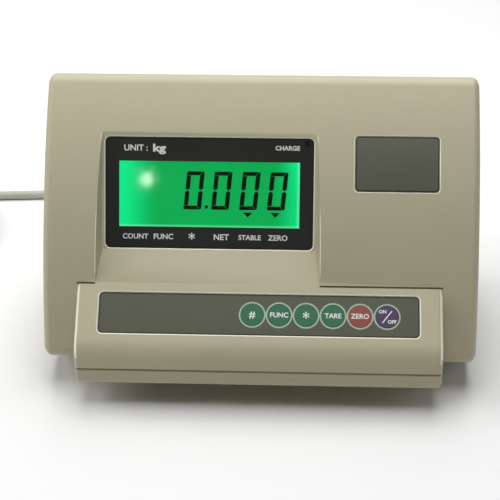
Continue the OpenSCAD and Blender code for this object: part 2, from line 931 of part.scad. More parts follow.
module transformer() {
    coil_out = 9;
    leg = 8;
    flange_t = 1.2;
    flange_out = 2;
    tag_w = 1.6;
    color("#8a5a34")
    translate([transformer_x, transformer_y, base_z + wall + iron_lift + fit]) {
        block(iron_w, iron_d - 2 * coil_out, iron_h);
        translate([0, 0, leg]) block(iron_w - 2 * leg, iron_d, iron_h - 2 * leg);
        for (s = [-1, 1])
            translate([0, s * (iron_d - flange_t) / 2, leg - flange_out]) {
                block(iron_w - 2 * leg + 2 * flange_out, flange_t, iron_h - 2 * leg + 2 * flange_out);
                for (x = [-1, 1])
                    translate([x * leg, 0, 0]) block(tag_w, flange_t / 2, iron_h - leg + flange_out);
            }
        difference() {
            block(2 * iron_ear_x + small_boss_d, small_boss_d * 2, ear_t);
            for (s = [-1, 1])
                translate([s * iron_ear_x, 0, -over]) cylinder(d = small_screw_d + 2 * fit, h = ear_t + 2 * over);
        }
    }
}
module transformer_screws() {
    color("#b8b8b4")
    for (s = [-1, 1])
        translate([transformer_x + s * iron_ear_x, transformer_y, base_z + wall + iron_lift + 2 * fit + ear_t])
            rotate([180, 0, 0]) small_screw(iron_lift + ear_t);
}
fuse_flange_d = 16;
fuse_l = 20;
tube_d = 5;
module fuse_holder() {
    cap_h = 7;
    color("#20201e")
    at_back(-fuse_x, fuse_z)
        difference() {
            union() {
                translate([0, 0, fit]) cylinder(d = fuse_flange_d, h = cap_h / 3);
                translate([0, 0, fit]) cylinder(d = fuse_d, h = cap_h);
                translate([0, 0, -fuse_l - wall]) cylinder(d = fuse_d, h = fuse_l + wall + over);
            }
            translate([0, 0, -fuse_l - wall - over]) cylinder(d = tube_d + 4 * fit, h = fuse_l + over * 2);
            translate([0, 0, cap_h - slot_deep]) block(fuse_d + over, slot_w, slot_deep + over);
        }
}
module fuse() {
    color("#d8e0dc")
    at_back(-fuse_x, fuse_z) translate([0, 0, -fuse_l - wall]) cylinder(d = tube_d, h = fuse_l);
}

// Battery
post_w = 6;
module battery() {
    color("#3a3d44")
    translate([battery_x, battery_y, base_z + wall + pad_foam_t]) {
        block(battery_w, battery_d, battery_h - post_w);
        for (s = [-1, 1])
            translate([s * (battery_w / 2 - post_w * 2), battery_d / 4, 0]) block(post_w, post_w, battery_h);
    }
}
module battery_pads() {
    color("#26282a")
    for (s = [-1, 1])
        translate([battery_x, battery_y + s * (door_d + battery_d) / 4, base_z + wall])
            block(battery_w - 2 * ledge, (battery_d - door_d) / 2, pad_foam_t);
}
lead_d = 2;
lead_sides = 8;
post_x = battery_w / 2 - 2 * post_w;
post_top = [battery_x, battery_y + battery_d / 4, base_z + wall + pad_foam_t + battery_h];
lead_end = [
    main_x - lead_block_x, back_y - wall - main_off - board_t - lead_block_h, main_z - lead_block_z
];
module battery_leads() {
    rise = 5;
    near = [post_top + [post_x, 0, 0], post_top + [post_x, 0, rise], lead_end + [lead_d, -rise, -rise / 2]];
    far = [
        post_top + [-post_x, 0, 0], post_top + [-post_x, 0, rise], post_top + [rise - post_x, 0, 2 * rise],
        post_top + [0, 0, 3 * rise], lead_end + [-4 * rise, -rise, 0], lead_end + [-lead_d - rise / 2, -rise / 2, 0]
    ];
    color("#b02820") {
        lead_tube(near, lead_end + [lead_d, 0, 0]);
        lead_tube(far, lead_end + [-lead_d, 0, 0]);
    }
}
module lead_tube(way, end) {
    tube(concat(spline(concat(way, [end]), cord_steps), [end]),
        lead_d, lead_sides, [0, 0, 1], [0, 1, 0], [1, -1, -1]);
}
module battery_door() {
    color("#a9a389")
    difference() {
        union() {
            translate([battery_x, battery_y, base_z]) block(door_w, door_d, wall / 2);
            translate([battery_x, battery_y, base_z])
                block(door_w - 2 * ledge - 2 * fit, door_d - 4 * ledge - 2 * fit, wall);
        }
        at_door_screws() translate([0, 0, -over]) cylinder(d = small_screw_d, h = 2 * wall);
    }
}
module door_screws() {
    color("#b8b8b4")
    at_door_screws() small_screw(wall);
}

// Sockets on the rear wall
module socket() {
    shell_out = 6;
    case_w = 31;
    case_h = 12.5;
    color("#c4c6c4")
    difference() {
        union() {
            translate([0, 0, fit - wall - main_off]) block(case_w, case_h, main_off - 2 * fit);
            translate([0, 0, -wall - fit]) d_shape(0, wall + shell_out);
        }
        for (row = [0, 1], i = [0 : 4 - row])
            translate([(i - 2 + row / 2) * pin_pitch, (share_half - row) * pin_rows, shell_out - fit - pin_deep])
                cylinder(d = pin_d, h = pin_deep + over);
    }
}
module load_cell_socket() { at_back(load_x, socket_z) socket(); }
module serial_socket() { at_back(serial_x, socket_z) socket(); }
module socket_jacks() {
    jack_out = 5;
    color("#d0b060")
    for (x = [load_x, serial_x], s = [-1, 1])
        at_back(x + s * jack_pitch / 2, socket_z)
            translate([0, 0, -wall - fit])
                difference() {
                    cylinder(d = jack_d, h = wall + jack_out, $fn = 6);
                    translate([0, 0, wall / 2]) cylinder(d = jack_bore_d, h = wall / 2 + jack_out + over);
                }
}

// Mains lead
relief_l = 34;
relief_wall = 1.5;
relief_tip_d = cord_d + 2 * relief_wall;
relief_flange_d = 16;
relief_flange_t = 2;
relief_rings = 6;
ring_deep = 0.8;
ring_share = 0.4;
// Side view [radius, along] of a tapered sleeve with rings moulded round it
function ringed(d1, d2, l, rings) = concat(
    [[0, 0], [d1 / 2, 0]],
    [for (i = [0 : rings - 1], k = [0 : 3])
        let (
            share = (i + (k < 2 ? 1 - ring_share : 1)) / (rings + ring_share),
            r = (d1 + (d2 - d1) * share) / 2
        )
        [r - (k == 1 || k == 2 ? ring_deep : 0), l * share]
    ],
    [[d2 / 2, l], [0, l]]
);
module strain_relief() {
    color("#8c8d86")
    at_back(-exit_x, exit_z) {
        translate([0, 0, fit]) cylinder(d = relief_flange_d, h = relief_flange_t);
        translate([0, 0, -wall - relief_flange_t]) cylinder(d = relief_d, h = wall + relief_flange_t + over);
        translate([0, 0, relief_flange_t])
            rotate_extrude() polygon(ringed(relief_d, relief_tip_d, relief_l - relief_flange_t, relief_rings));
    }
}

// The lead's free stretch, from the relief's tip to the coil
exit_tip = [-exit_x, back_y + relief_l, exit_z];
// Each point of the way down: across, back, and the share of the drop that is left
cord_way = [
    [0, 7, 1], [0, 17, 0.943], [-0.5, 26.5, 0.786], [-2, 35, 0.557], [-5.5, 42.5, 0.314],
    [-11, 49, 0.131], [-18.5, 53.5, 0.029], [-28, 56, 0], [-40, 57, 0], [-54, 57, 0], [-70, 56, 0],
    [-86, 55, 0], [-102, 54.5, 0], [-118, 54.5, 0]
];
cord_route = [
    for (p = cord_way) [exit_tip[0] + p[0], exit_tip[1] + p[1], cord_d / 2 + (exit_z - cord_d / 2) * p[2]]
];
cord_route_end = cord_route[len(cord_route) - 1];
// The coil: loops wind in on the floor, climb at the middle and wind out on top
coil_lead_in = 15;
coil_outer = 48;
coil_step = 6.6;
coil_rise = 6.6;
coil_turns = 7;
coil_rings = 24;
coil_tail = 36;
cord_sides = 8;
coil_sides = 6;
cord_steps = 3;
coil_start = cord_route_end - [coil_lead_in, 0, 0];
coil_mid = [coil_start[0], coil_start[1] - coil_outer];
coil_join = coil_start + [cord_d, 0, 0];
coil_end = coil_start + [-coil_tail, 0, coil_rise];

// A tube of n sides swept along points; from and to set its ends square, and the
// path never runs along axis
module tube(path, d, n, from, to, axis = [0, 0, 1]) {
    count = len(path);
    function along(i) = i == 0 ? from : i == count - 1 ? to : unit(path[i + 1] - path[i - 1]);
    verts = [
        for (i = [0 : count - 1])
            let (t = along(i), a = unit(cross(t, axis)), b = cross(a, t))
            each [for (k = [0 : n - 1]) let (w = 360 * (k + 0.5) / n) path[i] + d / 2 * (cos(w) * a + sin(w) * b)]
    ];
    faces = concat(
        [[for (k = [0 : n - 1]) k]],
        [[for (k = [n - 1 : -1 : 0]) (count - 1) * n + k]],
        [for (i = [0 : count - 2], k = [0 : n - 1])
            each [
                [i * n + k, (i + 1) * n + k, (i + 1) * n + (k + 1) % n],
                [i * n + k, (i + 1) * n + (k + 1) % n, i * n + (k + 1) % n]
            ]
        ]
    );
    polyhedron(verts, faces, convexity = 6);
}
// Points of a smooth curve through the route
function spline(pts, steps) = [
    for (i = [0 : len(pts) - 2])
        let (
            p1 = pts[i],
            p2 = pts[i + 1],
            p0 = i > 0 ? pts[i - 1] : 2 * p1 - p2,
            p3 = i < len(pts) - 2 ? pts[i + 2] : 2 * p2 - p1
        )
        for (k = [0 : steps - 1])
            let (s = k / steps)
            0.5 * (2 * p1 + (p2 - p0) * s + (2 * p0 - 5 * p1 + 4 * p2 - p3) * s * s
                + (3 * p1 - p0 - 3 * p2 + p3) * s * s * s)
];
module power_cord() {
    color("#b4b6a8")
    tube(concat([exit_tip], spline(cord_route, cord_steps), [cord_route[len(cord_route) - 1], coil_join]),
        cord_d, cord_sides, [0, 1, 0], [-1, 0, 0]);
}
// A point of the coil at a share of its turns
function coil_pt(share) =
    let (
        inward = coil_turns * (share < 0.5 ? share : 1 - share),
        climb = min(1, max(0, 0.5 + (share - 0.5) * coil_turns * 2)),
        r = coil_outer - coil_step * inward,
        turn = 360 * coil_turns * share
    )
    [coil_mid[0] - r * sin(turn), coil_mid[1] + r * cos(turn), cord_d / 2 + coil_rise * climb];
coil_count = coil_turns * coil_rings;
coil_loops = [for (i = [0 : coil_count]) coil_pt(i / coil_count)];
// Least gap between two stretches of the coil that are at least half a turn apart
coil_gap = min([
    for (i = [0 : coil_count], j = [i + coil_rings / 2 : 1 : coil_count])
        norm(coil_loops[i] - coil_loops[j]) - cord_d
]);
module power_cord_coil() {
    echo(coil_gap = coil_gap);
    color("#b4b6a8")
    tube(concat([coil_join], coil_loops, [coil_end + [cord_d, 0, 0], coil_end]),
        cord_d, coil_sides, [-1, 0, 0], [-1, 0, 0]);
}

// Plug: lies flat beside the coil, its blades pointing away from the lead
plug_l = 36;
plug_w = 32;
plug_neck_l = 14;
plug_neck_d = 11;
plug_tip_d = cord_d + 2 * relief_wall;
plug_rings = 3;
plug_corner = 4;
blade_l = 17;
blade_w = 6.3;
blade_t = 1.5;
blade_pitch = 12.7;
plug_end_share = 0.66;
module at_plug() {
    translate(coil_end) rotate([0, 0, 90]) children();
}
module power_plug() {
    plug_t = 2 * coil_end[2];
    color("#a4a69a")
    at_plug() {
        rotate([-90, 0, 0]) {
            rotate_extrude() polygon(ringed(plug_tip_d, plug_neck_d, plug_neck_l, plug_rings));
            translate([0, 0, plug_neck_l - over]) cylinder(d = plug_neck_d, h = 2 * over);
        }
        hull() {
            for (s = [-1, 1])
                translate([s * (plug_w / 2 - plug_corner), plug_neck_l + plug_l - plug_corner, 0])
                    plug_corner_post(plug_t);
            for (s = [-1, 1])
                translate([s * (plug_w * plug_end_share / 2 - plug_corner), plug_neck_l + plug_corner, 0])
                    plug_corner_post(plug_t * plug_end_share);
        }
    }
}
module plug_corner_post(t) {
    cylinder(r = plug_corner, h = t - plug_corner, center = true, $fn = 32);
    cylinder(r = plug_corner / 2, h = t, center = true, $fn = 32);
}
module plug_pins() {
    color("#c8b468")
    at_plug()
        for (s = [-1, 1])
            translate([s * blade_pitch / 2, plug_neck_l + plug_l + blade_l / 2, -blade_w / 2])
                block(blade_t, blade_l, blade_w);
}

// Fasteners and feet
module shell_screws() {
    color("#8c8c88")
    at_bosses()
        difference() {
            union() {
                translate([0, 0, -part_gap - seat_h]) cylinder(d = pilot_d, h = part_gap + seat_h + screw_bite);
                translate([0, 0, -part_gap - seat_h - screw_head_h]) cylinder(d = screw_head_d, h = screw_head_h);
            }
            translate([0, 0, -part_gap - seat_h - screw_head_h - over]) {
                block(driver_w, slot_w, slot_deep + over);
                block(slot_w, driver_w, slot_deep + over);
            }
        }
}
module rubber_feet() {
    color("#26282a")
    at_feet() {
        cylinder(d1 = foot_d - 2 * foot_chamfer, d2 = foot_d, h = foot_chamfer);
        translate([0, 0, foot_chamfer]) cylinder(d = foot_d, h = base_z + foot_seat - fit - foot_chamfer);
    }
}
module bracket_inserts() {
    color("#c8a850")
    for (x = [-1, 1])
        translate([x * insert_x, insert_y, base_z])
            difference() {
                cylinder(d = insert_d, h = insert_h);
                translate([0, 0, -over]) cylinder(d = insert_bore_d, h = insert_h + over - wall);
            }
}

front_shell();
rear_shell();
display_overlay();
display_lens();
status_lamp();
lcd_glass();
lcd_backlight();
lcd_frame();
rubber_connectors();
display_board();
display_screws();
keypad_overlay();
keypad_spacer();
key_hash();
key_function();
key_star();
key_tare();
key_zero();
key_power();
snap_domes();
keypad_circuit();
keypad_tail();
face_plate();
main_board();
board_parts();
board_screws();
sounder();
transformer();
transformer_screws();
fuse_holder();
fuse();
battery();
battery_pads();
battery_leads();
battery_door();
door_screws();
load_cell_socket();
serial_socket();
socket_jacks();
strain_relief();
power_cord();
power_cord_coil();
power_plug();
plug_pins();
shell_screws();
rubber_feet();
bracket_inserts();
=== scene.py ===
"""Looks of the weighing indicator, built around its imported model."""

import json
import math

import bmesh
import bpy
from mathutils import Matrix, Vector


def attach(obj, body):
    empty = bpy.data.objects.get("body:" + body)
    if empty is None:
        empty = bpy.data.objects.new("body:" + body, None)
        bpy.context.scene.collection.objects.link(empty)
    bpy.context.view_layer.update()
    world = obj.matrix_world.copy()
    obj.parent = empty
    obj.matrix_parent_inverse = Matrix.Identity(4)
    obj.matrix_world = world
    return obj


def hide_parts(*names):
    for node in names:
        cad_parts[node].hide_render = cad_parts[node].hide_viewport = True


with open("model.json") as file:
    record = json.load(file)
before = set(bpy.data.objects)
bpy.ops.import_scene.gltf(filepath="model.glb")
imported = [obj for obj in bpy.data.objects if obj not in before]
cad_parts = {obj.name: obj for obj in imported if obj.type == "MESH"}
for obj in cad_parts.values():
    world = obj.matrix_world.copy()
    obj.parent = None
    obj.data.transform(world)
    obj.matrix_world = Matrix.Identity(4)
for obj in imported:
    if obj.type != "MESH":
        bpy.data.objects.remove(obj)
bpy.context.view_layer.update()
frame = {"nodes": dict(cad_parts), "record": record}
MM = 0.001
BODY = "housing"

# Planes of the sloping faces: middle (x, y, z) and lean from the horizontal
DISPLAY_X = -31.2
DISPLAY_Y = -5.006
DISPLAY_Z = 108.302
DISPLAY_LEAN = 62.0
DISPLAY = (DISPLAY_X, DISPLAY_Y, DISPLAY_Z, DISPLAY_LEAN)
KEYPAD = (0, -55.448, 55.473, 37.9)
PLATE = (81.3, -0.097, 127.527, 49.336)

# Heights of the printed surfaces over their planes
GLASS_TOP = -4.0
OVERLAY_TOP = -0.3
KEY_TOP = -0.5
PAD_TOP = -0.7
PLATE_TOP = -0.3


def plane(x, y, z, lean):
    """Places a piece drawn in a sloping face's own millimetres."""
    turn = Matrix.Rotation(math.radians(lean), 4, "X")
    return Matrix.Translation(Vector((x, y, z)) * MM) @ turn @ Matrix.Scale(MM, 4)


def put(name, data):
    """A new object in the scene, its origin at the world's."""
    made = bpy.data.objects.new(name, data)
    bpy.context.scene.collection.objects.link(made)
    return made


# Camera, fitted to the corners of the display, keypad and plate
CAMERA_AZIMUTH = 2.83
CAMERA_ELEVATION = 33.96
CAMERA_ROLL = -0.72
CAMERA_DISTANCE = 900
CAMERA_TARGET = (-6.24, -20, 77.77)
FOCAL_PIXELS = 1487.1
PICTURE_WIDTH = 500
SENSOR_WIDTH = 36


def make_camera():
    azimuth, elevation, roll = (
        math.radians(a) for a in (CAMERA_AZIMUTH, CAMERA_ELEVATION, CAMERA_ROLL)
    )
    back = Vector(
        (
            math.sin(azimuth) * math.cos(elevation),
            -math.cos(azimuth) * math.cos(elevation),
            math.sin(elevation),
        )
    )
    right = (-back).cross(Vector((0, 0, 1))).normalized()
    up = back.cross(right)
    turned_right = right * math.cos(roll) + up * math.sin(roll)
    turned_up = up * math.cos(roll) - right * math.sin(roll)
    lens = bpy.data.cameras.new("camera")
    lens.sensor_width = SENSOR_WIDTH
    lens.lens = FOCAL_PIXELS / PICTURE_WIDTH * SENSOR_WIDTH
    lens.clip_start = 0.01
    lens.clip_end = 20
    turn = Matrix((turned_right, turned_up, back)).transposed().to_4x4()
    place = (Vector(CAMERA_TARGET) + back * CAMERA_DISTANCE) * MM
    camera = put("camera", lens)
    camera.matrix_world = Matrix.Translation(place) @ turn
    bpy.context.scene.camera = camera


# Mains lead: the same route as the model's solids
LEAD_D = 6
LEAD_EXIT = (-112, 103, 38)
LEAD_ROUTE = [
    LEAD_EXIT,
    (-112, 110, 38),
    (-112, 120, 36),
    (-112.5, 129.5, 30.5),
    (-114, 138, 22.5),
    (-117.5, 145.5, 14),
    (-123, 152, 7.6),
    (-130.5, 156.5, 4),
    (-140, 159, 3),
    (-152, 160, 3),
    (-166, 160, 3),
    (-182, 159, 3),
    (-198, 158, 3),
    (-214, 157.5, 3),
    (-230, 157.5, 3),
    (-239, 157.5, 3),
]
COIL_CENTRE = (-245, 109.5)
COIL_R = 48
COIL_STEP = 6.6
COIL_TURNS = 7
COIL_TURN_POINTS = 24
COIL_SAMPLES = 4000
LEAD_TAIL = [(-250, 157.5, 9.6), (-258, 157.5, 9.6), (-268, 157.5, 9.6), (-281, 157.5, 9.6)]


def coil_point(share):
    """A point of the coil: inwards on the floor, then outwards one layer up."""
    inward = COIL_TURNS * (share if share < 0.5 else 1 - share)
    climb = min(1, max(0, 0.5 + (share - 0.5) * COIL_TURNS * 2))
    r = COIL_R - COIL_STEP * inward
    turn = math.tau * COIL_TURNS * share
    return (
        COIL_CENTRE[0] - r * math.sin(turn),
        COIL_CENTRE[1] + r * math.cos(turn),
        LEAD_D / 2 + COIL_STEP * climb,
    )


def coil_points(steps):
    return [coil_point(i / steps) for i in range(steps + 1)]


def make_lead():
    points = LEAD_ROUTE + coil_points(COIL_TURNS * COIL_TURN_POINTS) + LEAD_TAIL
    line = bpy.data.curves.new("mains_lead", "CURVE")
    line.dimensions = "3D"
    line.bevel_depth = LEAD_D / 2 * MM
    line.bevel_resolution = 5
    line.use_fill_caps = True
    line.resolution_u = 6
    line.materials.append(bpy.data.materials.new("lead_sheath"))
    thread = line.splines.new("BEZIER")
    thread.bezier_points.add(len(points) - 1)
    for knot, point in zip(thread.bezier_points, points):
        knot.co = Vector(point) * MM
        knot.handle_left_type = knot.handle_right_type = "AUTO"
    return put("mains_lead", line)


def polyline_length(points):
    return sum((Vector(a) - Vector(b)).length for a, b in zip(points, points[1:]))


make_camera()
mains_lead = make_lead()
LEAD_LENGTH = polyline_length(LEAD_ROUTE + coil_points(COIL_SAMPLES) + LEAD_TAIL) * MM
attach(mains_lead, BODY)
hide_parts("power_cord", "power_cord_coil")


class Signal:
    """A shader socket that arithmetic can be written with."""

    def __init__(self, finish, socket):
        self.finish = finish
        self.socket = socket

    def maths(self, operation, other):
        values = {0: self, 1: other}
        return self.finish.node("ShaderNodeMath", {"operation": operation}, values)

    def __add__(self, other):
        return self.maths("ADD", other)

    def __sub__(self, other):
        return self.maths("SUBTRACT", other)

    def __mul__(self, other):
        return self.maths("MULTIPLY", other)

    def step(self, low, high):
        """0 at low, 1 at high, with soft ends."""
        return self.finish.node(
            "ShaderNodeMapRange",
            {"interpolation_type": "SMOOTHSTEP"},
            {"Value": self, "From Min": low, "From Max": high},
        )


class Finish:
    """One material round a Principled shader, with what its nodes share."""

    def __init__(self, name, material=None, **constants):
        self.material = material or bpy.data.materials.new(name)
        self.material.use_nodes = True
        self.tree = self.material.node_tree
        self.shader = self.tree.nodes["Principled BSDF"]
        self.place = None
        for socket, value in constants.items():
            self.set(socket.title(), value)

    def put_in(self, socket, value):
        if isinstance(value, Signal):
            self.tree.links.new(value.socket, socket)
        else:
            socket.default_value = value

    def set(self, socket, value):
        self.put_in(self.shader.inputs[socket], value)

    def node(self, kind, settings, values, out=0):
        made = self.tree.nodes.new(kind)
        for name, value in settings.items():
            setattr(made, name, value)
        for name, value in values.items():
            self.put_in(made.inputs[name], value)
        return Signal(self, made.outputs[out])

    def where(self):
        if self.place is None:
            self.place = self.node("ShaderNodeTexCoord", {}, {}, "Object")
        return self.place

    def noise(self, scale, detail, vector=None):
        values = {"Scale": scale, "Detail": detail, "Vector": vector or self.where()}
        return self.node("ShaderNodeTexNoise", {}, values)

    def mix(self, factor, first, second):
        values = {0: factor, 6: first, 7: second}
        return self.node("ShaderNodeMix", {"data_type": "RGBA"}, values, 2)

    def bump(self, height, strength, distance):
        values = {"Height": height, "Strength": strength, "Distance": distance}
        self.set("Normal", self.node("ShaderNodeBump", {}, values))


def rgba(colour, level=1.0):
    """A written hex colour as linear light, times level."""
    parts = [int(colour[i : i + 2], 16) / 255 for i in (1, 3, 5)]
    linear = [p / 12.92 if p <= 0.04045 else ((p + 0.055) / 1.055) ** 2.4 for p in parts]
    return (*[min(1, c * level) for c in linear], 1)


def moulded(name, colour, roughness=0.55, depth=0.00004):
    """Moulded plastic: fine spark-eroded grain, faint colour drift, duller patches."""
    finish = Finish(name, roughness=roughness)
    drift = finish.noise(22, 3)
    speck = finish.noise(2600, 1)
    tone = drift * 0.7 + speck * 0.3
    finish.set("Base Color", finish.mix(tone, rgba(colour, 0.94), rgba(colour, 1.06)))
    finish.set("Roughness", drift * 0.1 + speck * 0.06 + (roughness - 0.08))
    finish.bump(speck, 0.35, depth)
    return finish.material


def film(name, colour, roughness):
    """Printed polyester film: even ink with a velvet grain and small dents."""
    finish = Finish(name, roughness=roughness)
    grain = finish.noise(5200, 1)
    sweep = finish.noise(38, 2)
    finish.set("Base Color", finish.mix(sweep, rgba(colour, 0.93), rgba(colour, 1.07)))
    finish.set("Roughness", grain * 0.08 + sweep * 0.08 + (roughness - 0.08))
    finish.bump(grain * 0.3 + sweep, 0.12, 0.00015)
    return finish.material


def metal(name, colour, roughness=0.32):
    """Plated or drawn metal with fine upright lines."""
    finish = Finish(name, metallic=1.0)
    squeezed = {"Vector": finish.where(), "Scale": (1, 1, 30)}
    stretched = finish.node("ShaderNodeMapping", {}, squeezed)
    lines = finish.noise(420, 3, stretched)
    stain = finish.noise(90, 3)
    finish.set("Base Color", finish.mix(stain, rgba(colour, 0.85), rgba(colour, 1.05)))
    finish.set("Roughness", lines * 0.2 + stain * 0.1 + (roughness - 0.15))
    finish.bump(lines, 0.2, 0.00003)
    return finish.material


def rubber(name, colour, roughness, material=None):
    """Soft plastic or rubber with a matt skin and a little dust."""
    finish = Finish(name, material, roughness=roughness)
    skin = finish.noise(1800, 2)
    dust = finish.noise(60, 4).step(0.45, 0.8)
    finish.set("Base Color", finish.mix(dust * 0.35, rgba(colour), rgba(colour, 1.35)))
    finish.set("Roughness", skin * 0.12 + (roughness - 0.06))
    finish.bump(skin, 0.3, 0.00003)
    return finish.material


def clear(name, roughness):
    """Clear plastic or glass with faint smears."""
    finish = Finish(name)
    finish.set("Base Color", rgba("#f4fff8"))
    finish.set("Transmission Weight", 1.0)
    finish.set("IOR", 1.49)
    smear = finish.noise(45, 2)
    finish.set("Roughness", smear * 0.05 + roughness)
    return finish.material


# Where the lit glass brightens, and where highlights are painted along its foot and right side, in
# millimetres from the display's middle
LEFT_GLOW = (-30, -56)
RIGHT_GLOW = (38, 57)
UPPER_GLOW = (-6, 22)
FOOT_HIGHLIGHT = (-19.0, -20.2)
SIDE_HIGHLIGHT = (52.4, 53.4)


def backlit_crystal():
    """Lit green liquid crystal, brighter towards the lamps at its two ends, with highlights painted
    along the glass's foot and right side.
    """
    finish = Finish("crystal", roughness=0.25)
    finish.set("Base Color", rgba("#063018"))
    from_middle = {"Vector": finish.where(), "Location": (DISPLAY_X * -MM, 0, 0)}
    centred = finish.node("ShaderNodeMapping", {}, from_middle)
    across, depth, height = (
        finish.node("ShaderNodeSeparateXYZ", {}, {"Vector": centred}, axis) for axis in "XYZ"
    )
    lean = math.radians(DISPLAY_LEAN)
    middle = (DISPLAY_Y * math.cos(lean) + DISPLAY_Z * math.sin(lean)) * MM
    up = depth * math.cos(lean) + height * math.sin(lean) - middle

    def edge(signal, span):
        return signal.step(span[0] * MM, span[1] * MM)

    left_end = edge(across, LEFT_GLOW) * 0.85
    right_end = edge(across, RIGHT_GLOW) * (edge(up, UPPER_GLOW) * 0.3 + 0.65)
    cloud = finish.noise(40, 1) * 0.1
    glow = finish.mix(left_end + right_end + cloud, rgba("#0aa84f"), rgba("#06f898"))
    # Painted highlights: paler lines along the glass's foot and right side.
    lines = edge(up, FOOT_HIGHLIGHT) * 0.45 + edge(across, SIDE_HIGHLIGHT) * 0.4
    finish.set("Emission Color", finish.mix(lines, glow, rgba("#7dffc4")))
    finish.set("Emission Strength", 1.0)
    return finish.material


finishes = {
    "housing_face": moulded("housing_face", "#b8b295"),
    "housing_base": moulded("housing_base", "#b2ac90"),
    "overlay_dark": film("overlay_dark", "#2c2e2a", 0.4),
    "pad_grey": film("pad_grey", "#4b4f3a", 0.45),
    "plate_grey": film("plate_grey", "#5a5b4e", 0.45),
    "key_green": film("key_green", "#1a6643", 0.36),
    "key_red": film("key_red", "#8c4030", 0.36),
    "key_violet": film("key_violet", "#422c54", 0.36),
    "white_plastic": moulded("white_plastic", "#e4e4de", 0.45, 0.00002),
    "board_green": film("board_green", "#1c5c34", 0.3),
    "component_black": moulded("component_black", "#222222", 0.5),
    "battery_case": moulded("battery_case", "#2c2e34", 0.5),
    "circuit_film": film("circuit_film", "#c9a848", 0.25),
    "pink_rubber": rubber("pink_rubber", "#d0508c", 0.7),
    "foam": rubber("foam", "#262626", 0.9),
    "lead_red": rubber("lead_red", "#a02018", 0.5),
    "lead_grey": rubber("lead_grey", "#b0b1a4", 0.5, mains_lead.data.materials[0]),
    "foot_rubber": rubber("foot_rubber", "#222222", 0.85),
    "zinc": metal("zinc", "#c8c8c4"),
    "dark_screw": metal("dark_screw", "#8c8c88", 0.4),
    "spring_steel": metal("spring_steel", "#d8d8d4", 0.25),
    "plated_shell": metal("plated_shell", "#c4c4c0", 0.35),
    "brass": metal("brass", "#c9a85a", 0.3),
    "iron_copper": metal("iron_copper", "#7a5a40", 0.5),
    "crystal": backlit_crystal(),
    "light_plate": film("light_plate", "#30f090", 0.4),
    "lens_clear": clear("lens_clear", 0.02),
    "glass_tube": clear("glass_tube", 0.03),
    "lamp": moulded("lamp", "#1c2620", 0.2, 0.00001),
}
inks = {
    "white": film("white_ink", "#e8eae6", 0.5),
    "dark": film("lit_segment", "#06280e", 0.35),
    "halo": film("segment_edge", "#52c07c", 0.35),
    "ring": film("key_ring", "#b2c8b0", 0.45),
    "black": film("panel_edge", "#14150f", 0.5),
}

slots = {part["node"]: part["material_slot"] for part in frame["record"]["subparts"]}
for name, node in frame["nodes"].items():
    node.data.materials.clear()
    node.data.materials.append(finishes[slots[name]])

# The housing face is part of a cylinder lying across the housing
FACE_AXIS = Vector((0, 233.54, -73.17)) * MM
FACE_RADIUS = 308 * MM
NEAR_FACE = 0.3 * MM
FACE_BLEND = math.cos(math.radians(20))


def corner_normals(shape):
    """Normals weighted by area inside each smooth fan, exact on the curved face."""
    found = {}
    for vert in shape.verts:
        from_axis = vert.co - FACE_AXIS
        from_axis.x = 0
        on_face = abs(from_axis.length - FACE_RADIUS) < NEAR_FACE
        waiting = set(vert.link_faces)
        while waiting:
            fan = [waiting.pop()]
            for face in fan:
                for edge in face.edges:
                    if vert in edge.verts and edge.smooth:
                        fan += [f for f in edge.link_faces if f in waiting]
                        waiting.difference_update(edge.link_faces)
            normal = sum((f.normal * f.calc_area() for f in fan), Vector()).normalized()
            if on_face and normal.dot(from_axis.normalized()) > FACE_BLEND:
                normal = from_axis.normalized()
            for face in fan:
                found[face.index, vert.index] = normal
    return [found[face.index, loop.vert.index] for face in shape.faces for loop in face.loops]


SMOOTH_BELOW = math.radians(35)


def shaded(shape, name, slot, body=BODY, skins=None):
    """Turns a bmesh into a piece on a body, smooth across its shallow edges."""
    mesh = bpy.data.meshes.new(name)
    shape.normal_update()
    for face in shape.faces:
        face.smooth = True
    for edge in shape.edges:
        edge.smooth = len(edge.link_faces) == 2 and edge.calc_face_angle() < SMOOTH_BELOW
    shape.verts.index_update()
    shape.faces.index_update()
    normals = corner_normals(shape)
    shape.to_mesh(mesh)
    shape.free()
    mesh.normals_split_custom_set(normals)
    for material in skins or [finishes[slot]]:
        mesh.materials.append(material)
    piece = put(name, mesh)
    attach(piece, body)
    return piece


MERGE_DISTANCE = 1e-6
FLAT_BELOW = math.radians(0.5)


def merged(node):
    """A copy of a CAD node's triangles, merged to flat faces."""
    shape = bmesh.new()
    shape.from_mesh(frame["nodes"][node].data)
    bmesh.ops.remove_doubles(shape, verts=shape.verts, dist=MERGE_DISTANCE)
    bmesh.ops.dissolve_limit(
        shape, angle_limit=FLAT_BELOW, verts=shape.verts, edges=shape.edges
    )
    shape.normal_update()
    return shape


# Edges of the front shell that a mould rounds, with a highlight painted on the rounds
RIM_ROUND = 0.75
RIDGE_ROUND = 0.4
PAINTED_HIGHLIGHT = 1
OUT_OF_FACE = Vector((0, -0.8, 0.6))
FACING_OUT = 0.3
CHANNEL_LOW = (-102, -60, 70)
CHANNEL_HIGH = (39.5, 30, 142)
UPRIGHT = 0.3
RIMS = [(DISPLAY, 62.9, 33.6), (KEYPAD, 95.6, 12.8), (PLATE, 25.6, 17.2)]
RIM_DEPTH = 0.7


